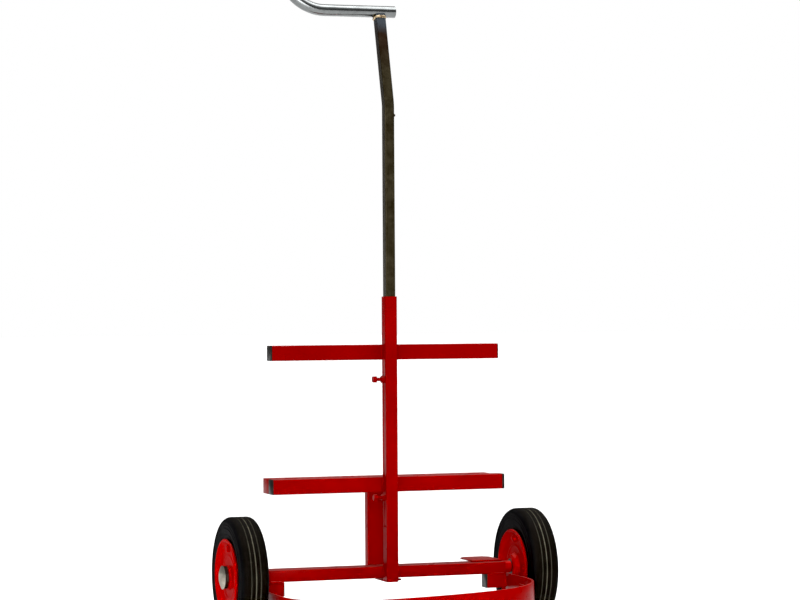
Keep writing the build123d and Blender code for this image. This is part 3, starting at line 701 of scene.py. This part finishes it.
def hex_fastener(shape, place, axis, across_flats, height, dome=0.0, sides=6):
    """A chamfered head or washer standing on a face at place, along the unit vector axis."""
    base = axis_transform(place, axis)
    half = across_flats / 2
    corner = half / math.cos(math.pi / sides)
    count = sides * 8
    foot = []
    shoulder = []
    top = []
    for index in range(count):
        angle = 2 * math.pi * index / count
        within = (angle + math.pi / sides) % (2 * math.pi / sides) - math.pi / sides
        radius = half / math.cos(within)
        towards_corner = (radius - half) / (corner - half)
        chamfer = height * CHAMFER_START - CHAMFER_DROP * height * towards_corner
        levels = ((foot, radius, 0.0), (shoulder, radius, chamfer), (top, half * TOP_WIDTH, height))
        for ring, far, lift in levels:
            spot = Vector((far * math.cos(angle), far * math.sin(angle), lift))
            ring.append(shape.verts.new(base @ spot))
    inner = []
    for point in top:
        spot = base.inverted() @ point.co
        spot = Vector((TOP_FLAT * spot.x, TOP_FLAT * spot.y, spot.z + dome))
        inner.append(shape.verts.new(base @ spot))
    close_tube(shape, [foot, shoulder, top, inner])


def threaded_rod(shape, start, axis, length, radius, pitch, depth):
    """A rod with a real helical thread, from start along the unit vector axis."""
    base = axis_transform(start, axis)
    around = 24
    per_pitch = 6
    rows = int(length / pitch * per_pitch)
    rings = []
    for row in range(rows + 1):
        z = length * row / rows
        ring = []
        for index in range(around):
            angle = 2 * math.pi * index / around
            phase = (z / pitch - index / around) % 1.0
            ridge = abs(2 * phase - 1)
            taper = min(1.0, (length - z) / (1.2 * radius) + 0.55)
            far = (radius - depth * ridge) * taper
            spot = Vector((far * math.cos(angle), far * math.sin(angle), z))
            ring.append(shape.verts.new(base @ spot))
        rings.append(ring)
    close_tube(shape, rings)


THREAD_PITCH = 1.25 * MM
THREAD_OVERLAP = 0.2 * MM
RIM_BOLT_CIRCLE = 60.0 * MM
RIM_BOLT_FLATS = 13.0 * MM
RIM_BOLT_HEIGHT = 4.1 * MM
RIM_BOLT_CROWN = 0.2 * MM
RIM_BOLT_TIP = 2.8 * MM
RIM_BOLT_RADIUS = 4.0 * MM
RIM_THREAD_DEPTH = 0.6 * MM
WASHER_WIDTH = 16.0 * MM
WASHER_HEIGHT = 1.2 * MM
WASHER_SIDES = 24


def make_rim_bolts(side_name, side):
    """Four bolts through both discs, with a washer and a hexagon at each end and a threaded tip."""
    web = RIM_WEB * MM
    nut_top = web + WASHER_HEIGHT + RIM_BOLT_HEIGHT
    shape = bmesh.new()
    for index in range(4):
        angle = math.pi / 2 * (index + 1)
        y = AXLE_Y + RIM_BOLT_CIRCLE * math.cos(angle)
        z = AXLE_Z + RIM_BOLT_CIRCLE * math.sin(angle)
        for facing in (side, -side):
            x = side * WHEEL_MID_X + facing * web
            axis = (facing, 0, 0)
            hex_fastener(shape, (x, y, z), axis, WASHER_WIDTH, WASHER_HEIGHT, sides=WASHER_SIDES)
            seat = (x + facing * WASHER_HEIGHT, y, z)
            hex_fastener(shape, seat, axis, RIM_BOLT_FLATS, RIM_BOLT_HEIGHT, RIM_BOLT_CROWN)
        tip = (side * (WHEEL_MID_X - nut_top + THREAD_OVERLAP), y, z)
        threaded_rod(
            shape, tip, (-side, 0, 0), RIM_BOLT_TIP, RIM_BOLT_RADIUS, THREAD_PITCH, RIM_THREAD_DEPTH
        )
    replaced = (f"{side_name}_rim_bolts",)
    finish_piece(f"{side_name}_rim_bolts.hex", shape, "rim_paint", f"{side_name}_wheel", replaced)


CAP_SHEET = 1.2 * MM
SKIRT_DEPTH = 8.0 * MM
CAP_FLAT_SHARE = 0.45
CAP_FLAT_DEPTH = 0.9 * MM


def make_hub_cap(side_name, side):
    """A pressed sheet dome, flattened in its middle, over a skirt pushed on the hub; the skirt's dark
    steel is painted shade beside the cap.
    """
    low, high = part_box(f"{side_name}_hub_cap")
    radius = (high.z - low.z) / 2
    tip_offset = max(abs(low.x), abs(high.x)) - WHEEL_MID_X
    back_offset = min(abs(low.x), abs(high.x)) - WHEEL_MID_X
    rim_offset = back_offset + SKIRT_DEPTH
    height = tip_offset - rim_offset
    sphere = (radius**2 + height**2) / (2 * height)
    sheet = CAP_SHEET
    rings = 26
    outside = []
    inside = []
    for index in range(rings + 1):
        r = radius * (1 - index / rings) + 0.01 * MM
        x = tip_offset - sphere + math.sqrt(sphere**2 - r**2)
        x -= CAP_FLAT_DEPTH * (1 - smooth_step(r, 0.0, radius * CAP_FLAT_SHARE))
        outside.append((x, r))
        if r < radius - 2 * sheet:
            inside.append((x - sheet, r))
    skirt = [
        (back_offset, radius - 1.1 * sheet),
        (rim_offset - 1.2 * MM, radius - 1.1 * sheet),
        (rim_offset - 0.8 * MM, radius),
    ]
    inner_skirt = [(rim_offset, radius - 1.9 * sheet), (back_offset, radius - 1.9 * sheet)]
    body = f"{side_name}_wheel"
    dome = [(side * x, r) for x, r in outside + list(reversed(inside))]
    shape = lathe(dome, side * WHEEL_MID_X, 96)
    finish_piece(f"{side_name}_hub_cap.dome", shape, "zinc_steel", body, (f"{side_name}_hub_cap",))
    # The skirt is given dark steel as painted shade, standing for the shadow beside the cap
    collar = [(side * x, r) for x, r in skirt + inner_skirt]
    shape = lathe(collar, side * WHEEL_MID_X, 96)
    finish_piece(f"{side_name}_hub_cap.skirt", shape, "dark_steel", body)


# ---------------------------------------------------------------- welds

BEAD_SPACING = 0.9 * MM
RIPPLE_LENGTH = 2.6 * MM
BEAD_AROUND = 10
FRAME_BEAD = 2.6 * MM
THIN_BEAD = 0.8 * FRAME_BEAD


def weld_bead(name, points, radius, slot="red_paint", body="frame", closed=False, seed=0.0):
    """A run of weld along a line of points: overlapping ripples with a slightly uneven width."""
    path = []
    run = [Vector(p) for p in points]
    if closed:
        run.append(run[0])
    for a, b in zip(run, run[1:]):
        count = max(2, int((b - a).length / BEAD_SPACING))
        path += [a.lerp(b, i / count) for i in range(count)]
    path.append(run[-1])
    shape = bmesh.new()
    rings = []
    last = len(path) - 1
    travelled = 0.0
    for index, point in enumerate(path):
        ahead = path[min(index + 1, last)] - path[max(index - 1, 0)]
        turn = ahead.to_track_quat("Z", "X").to_matrix()
        if index:
            travelled += (point - path[index - 1]).length
        ripple = abs((travelled / RIPPLE_LENGTH) % 1.0 - 0.4)
        uneven = noise.noise(Vector((travelled * 90, seed, 0.0)))
        size = radius * (0.86 + 0.20 * ripple + 0.16 * uneven)
        if not closed:
            from_end = (min(index, last - index) + 0.6) * BEAD_SPACING
            size *= math.sqrt(max(0.04, min(1.0, from_end / radius)))
        ring = []
        for step in range(BEAD_AROUND):
            angle = 2 * math.pi * step / BEAD_AROUND
            spoke = Vector((size * math.cos(angle), size * math.sin(angle), 0))
            ring.append(shape.verts.new(point + turn @ spoke))
        rings.append(ring)
    close_tube(shape, rings)
    return finish_piece(name, shape, slot, body, (), math.radians(75))


def make_mast_welds():
    """Beads at both sides and over the top of each tube that crosses the mast."""
    crossings = ("upper_crossbar", "lower_crossbar_front", "axle_beam")
    for number, node in enumerate(crossings):
        low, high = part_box(node)
        y = low.y
        for side_name, side in SIDES.items():
            x = side * MAST_HALF
            upright = [(x, y, low.z + 2 * MM), (x, y, high.z - 2 * MM)]
            weld_bead(f"weld.{node}.{side_name}", upright, FRAME_BEAD, seed=number + side)
        ends = [(-MAST_HALF + 1 * MM, y, high.z), (MAST_HALF - 1 * MM, y, high.z)]
        weld_bead(f"weld.{node}.top", ends, THIN_BEAD, seed=number + 5.0)


def make_seam_welds():
    """Short stitches between the front and rear tubes of the lower crossbar."""
    low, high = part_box("lower_crossbar_rear")
    stitch = 28 * MM
    for number, x in enumerate((-205 * MM, -80 * MM, 80 * MM, 205 * MM)):
        for edge_name, z in (("top", high.z - 0.6 * MM), ("under", low.z + 0.6 * MM)):
            ends = [(x - stitch / 2, low.y, z), (x + stitch / 2, low.y, z)]
            weld_bead(f"weld.seam.{edge_name}.{number}", ends, THIN_BEAD, seed=number)


def make_upright_welds():
    """Beads over the rear upright's head, and where it stands against the axle beam."""
    low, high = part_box("rear_upright")
    beam_low, beam_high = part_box("axle_beam")
    runs = {
        "head_front": [(low.x + 3 * MM, low.y, high.z), (high.x - 3 * MM, low.y, high.z)],
        "head_back": [(low.x + 3 * MM, high.y, high.z), (high.x - 3 * MM, high.y, high.z)],
        "beam_top": [(low.x + 2 * MM, low.y, beam_high.z), (high.x - 2 * MM, low.y, beam_high.z)],
        "beam_left": [(low.x, low.y, beam_low.z + 2 * MM), (low.x, low.y, beam_high.z - 2 * MM)],
        "beam_right": [(high.x, low.y, beam_low.z + 2 * MM), (high.x, low.y, beam_high.z - 2 * MM)],
    }
    for number, (run_name, points) in enumerate(runs.items()):
        weld_bead(f"weld.upright.{run_name}", points, FRAME_BEAD, seed=10.0 + number)


def make_stub_welds():
    """Beads between each hoop stub and the beam over it, and between the stub and the hoop."""
    beam_end = abs(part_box("axle_beam")[1].x)
    for side_name, side in SIDES.items():
        low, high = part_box(f"hoop_stub_{side_name}")
        inner_x, outer_x = (high.x, low.x) if side < 0 else (low.x, high.x)
        reach = side * min(abs(outer_x), beam_end)
        front = [(inner_x + side * 3 * MM, low.y, high.z), (reach - side * 3 * MM, low.y, high.z)]
        back = [(inner_x + side * 3 * MM, high.y, high.z), (reach - side * 3 * MM, high.y, high.z)]
        weld_bead(f"weld.stub_front.{side_name}", front, FRAME_BEAD, seed=20.0 + side)
        weld_bead(f"weld.stub_back.{side_name}", back, FRAME_BEAD, seed=24.0 + side)
        down = [(outer_x, low.y, low.z + 2 * MM), (outer_x, low.y, high.z - 6 * MM)]
        weld_bead(f"weld.hoop.{side_name}", down, FRAME_BEAD, seed=28.0 + side)


BRAZE_BEAD = 3.1 * MM
BRAZE_LIFT = 5.6 * MM
BRAZE_INSET = 3.0 * MM
BRAZE_SQUARENESS = 0.5
TUBE_LEAN = math.radians(15.5)


def make_handle_weld():
    """A lumpy ring of braze, nearly square, between the inner tube's head and the handle."""
    low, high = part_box("handle_weld")
    middle_y = (low.y + high.y) / 2
    half = (high.x - low.x) / 2 - BRAZE_INSET
    z = low.z + BRAZE_LIFT
    points = []
    steps = 40
    for index in range(steps):
        angle = 2 * math.pi * index / steps
        x = half * math.copysign(abs(math.cos(angle)) ** BRAZE_SQUARENESS, math.cos(angle))
        y = half * math.copysign(abs(math.sin(angle)) ** BRAZE_SQUARENESS, math.sin(angle))
        points.append((x, middle_y + y * math.cos(TUBE_LEAN), z - y * math.sin(TUBE_LEAN)))
    name = "handle_weld.bead"
    piece = weld_bead(name, points, BRAZE_BEAD, "braze", "handle", closed=True, seed=40.0)
    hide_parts("handle_weld")


# ---------------------------------------------------------------- clamp bolts

CLAMP_HEAD = 8.0 * MM
CLAMP_FLATS = 13.0 * MM
CLAMP_THREAD_RADIUS = 3.98 * MM
CLAMP_THREAD_DEPTH = 0.65 * MM


def make_clamps():
    """Each clamp bolt, with its hexagon head to the left and its thread running right from it."""
    for level in ("upper", "lower"):
        low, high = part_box(f"{level}_clamp_bolt")
        y = (low.y + high.y) / 2
        z = (low.z + high.z) / 2
        shape = bmesh.new()
        hex_fastener(shape, (low.x + CLAMP_HEAD, y, z), (-1, 0, 0), CLAMP_FLATS, CLAMP_HEAD)
        start = low.x + CLAMP_HEAD - 0.5 * MM
        length = high.x - start
        threaded_rod(
            shape, (start, y, z), (1, 0, 0), length, CLAMP_THREAD_RADIUS, THREAD_PITCH, CLAMP_THREAD_DEPTH
        )
        replaced = (f"{level}_clamp_bolt",)
        finish_piece(f"{level}_clamp_bolt.threaded", shape, "red_paint", f"{level}_clamp", replaced)


# ---------------------------------------------------------------- small trim

def make_softened_nodes():
    """Finer copies of the nodes whose edges show, each with the width its edges are rounded by."""
    frame_paint = {
        "base_hoop": 0.9, "base_tray": 0.5, "tray_hanger_left": 0.7, "tray_hanger_right": 0.7,
        "tray_hanger_front": 0.7, "foot_pedal": 1.1, "mast_foot_plate": 0.7, "mast_outer_tube": 0.35,
        "hoop_stub_left": 0.3, "hoop_stub_right": 0.3, "axle_beam": 0.3, "lower_crossbar_rear": 0.8,
    }
    for node, width in frame_paint.items():
        softened(node, "red_paint", "frame", width * MM)
    for side_name in SIDES:
        for cap in ("upper_bar_cap", "lower_bar_cap", "stub_cap"):
            softened(f"{cap}_{side_name}", "black_plastic", "frame", 0.6 * MM)
    softened("handle_tube", "handle_steel", "handle", 0.5 * MM)
    softened("tray_feet", "foot_rubber", "frame", 1.2 * MM)


def give_node_materials():
    """Gives each CAD node the material of its slot, and smooth shading between its sharp edges."""
    slots = {part["node"]: part["material_slot"] for part in frame["record"]["subparts"]}
    for node, piece in frame["nodes"].items():
        piece.data.materials.clear()
        piece.data.materials.append(MATERIALS[slots[node]])
        for face in piece.data.polygons:
            face.use_smooth = True
        piece.data.set_sharp_from_angle(angle=SMOOTH_ANGLE)


set_film()
MATERIALS = make_materials()
make_camera()
make_world()
make_lights()
make_floor()
give_node_materials()
make_softened_nodes()
for wheel_name, wheel_side in SIDES.items():
    make_tyre(wheel_name, wheel_side)
    make_rims(wheel_name, wheel_side)
    make_rim_bolts(wheel_name, wheel_side)
    make_hub_cap(wheel_name, wheel_side)
make_mast_welds()
make_seam_welds()
make_upright_welds()
make_stub_welds()
make_handle_weld()
make_clamps()
